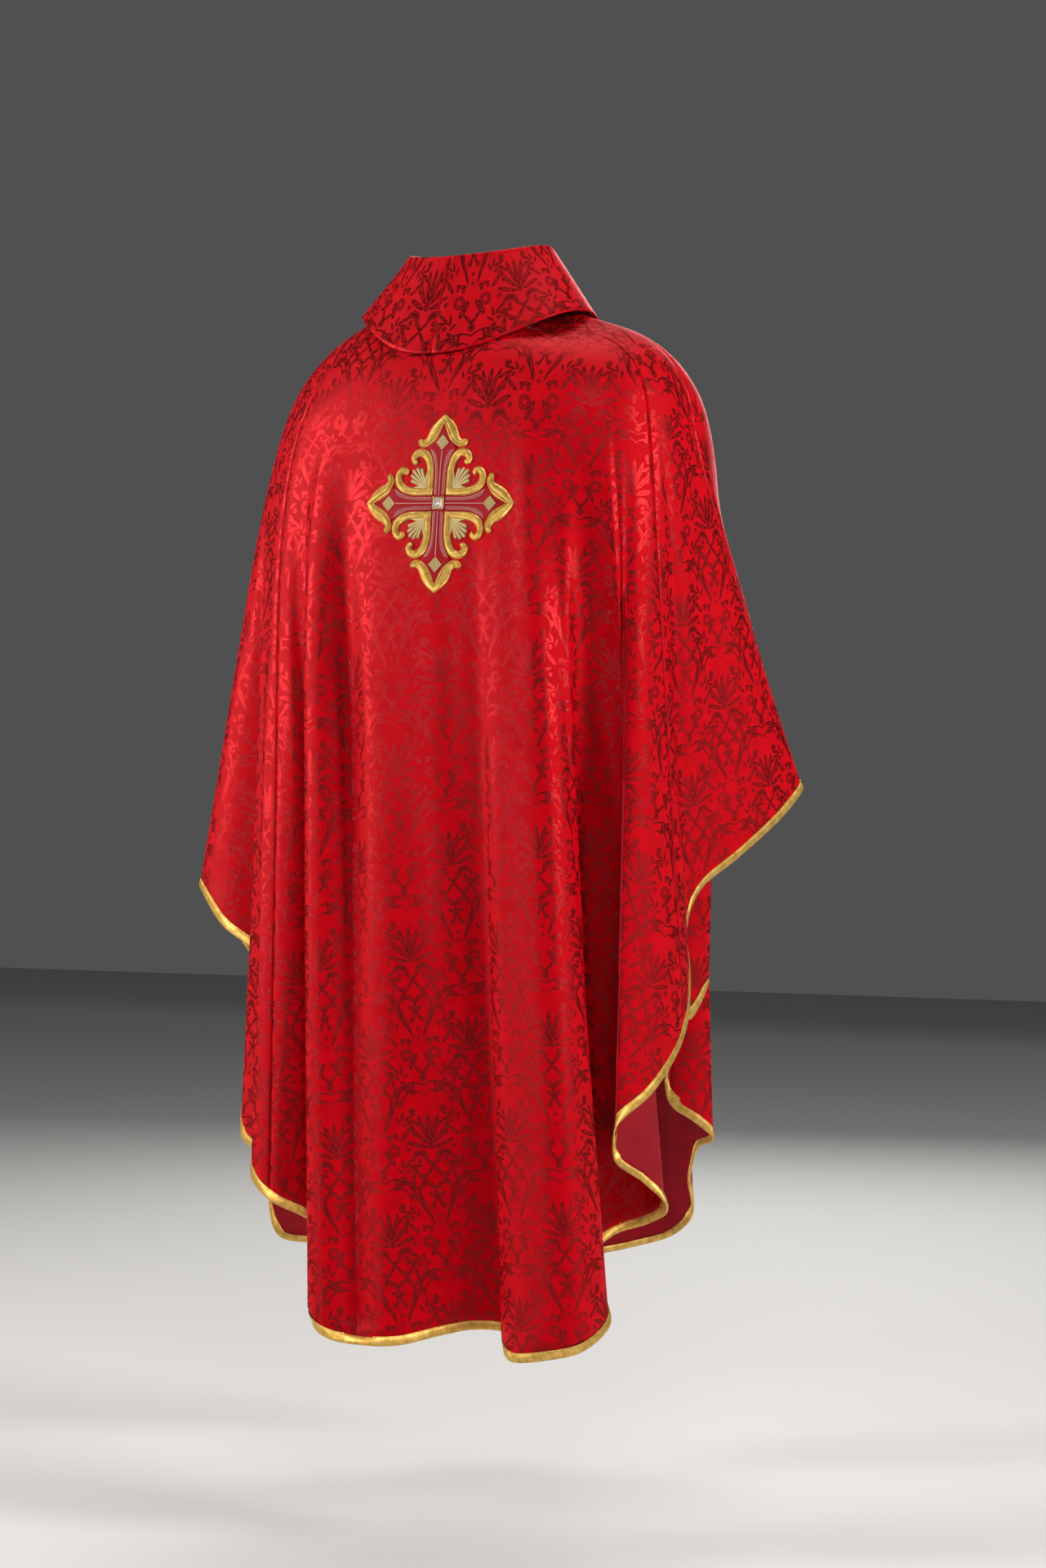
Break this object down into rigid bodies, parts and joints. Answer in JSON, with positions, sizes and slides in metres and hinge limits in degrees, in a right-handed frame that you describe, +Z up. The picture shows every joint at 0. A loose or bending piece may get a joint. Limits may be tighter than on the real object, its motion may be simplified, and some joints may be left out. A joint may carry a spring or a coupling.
{
  "type": "chasuble",
  "caption": "Gothic chasuble of red figured damask with a rolled collar, gold-bound hem and an embroidered jewelled cross on the back, hanging as worn.",
  "frame": {"origin": "centre of the neck opening, at the height of the neck seam at the nape", "axes": "+Z up, the wearer faces -Y, +X is the wearer's left"},
  "size_m": [0.7089, 0.5961, 1.31],
  "materials": {
    "damask": "figured damask, satin ground with a ribbed raised motif, soft sheen",
    "lining": "plain fine twill, low sheen",
    "gold_binding": "metallic lame bias binding",
    "seam_tape": "matt cotton tape",
    "interlining": "stiff matt canvas",
    "satin_ground": "dense rayon satin stitch",
    "gold_satin": "glossy padded gold satin stitch",
    "gold_net": "open net of pale olive gold thread",
    "silver_thread": "fine silvery pink thread",
    "setting": "beaded gilt metal",
    "crystal": "clear faceted glass"
  },
  "bodies": {
    "root": {"back_centre_panel": "damask", "back_left_panel": "damask", "back_right_panel": "damask", "front_centre_panel": "damask", "front_left_panel": "damask", "front_right_panel": "damask", "collar_outer_left": "damask", "collar_outer_right": "damask", "back_lining": "lining", "front_lining": "lining", "collar_facing": "lining", "hem_binding_back": "gold_binding", "hem_binding_front": "gold_binding", "neck_seam_tape": "seam_tape", "collar_interlining": "interlining", "cross_ground": "satin_ground", "scroll_band_upper_left": "gold_satin", "scroll_band_upper_right": "gold_satin", "scroll_band_lower_left": "gold_satin", "scroll_band_lower_right": "gold_satin", "cross_tip_top": "gold_satin", "cross_tip_bottom": "gold_satin", "cross_tip_left": "gold_satin", "cross_tip_right": "gold_satin", "ray_fan_upper_left": "gold_net", "ray_fan_upper_right": "gold_net", "ray_fan_lower_left": "gold_net", "ray_fan_lower_right": "gold_net", "lozenge_top": "gold_net", "lozenge_bottom": "gold_net", "lozenge_left": "gold_net", "lozenge_right": "gold_net", "comb_stitching": "silver_thread", "centre_line_cords": "silver_thread", "jewel_setting": "setting", "jewel_crystal": "crystal"}
  },
  "joints": []
}
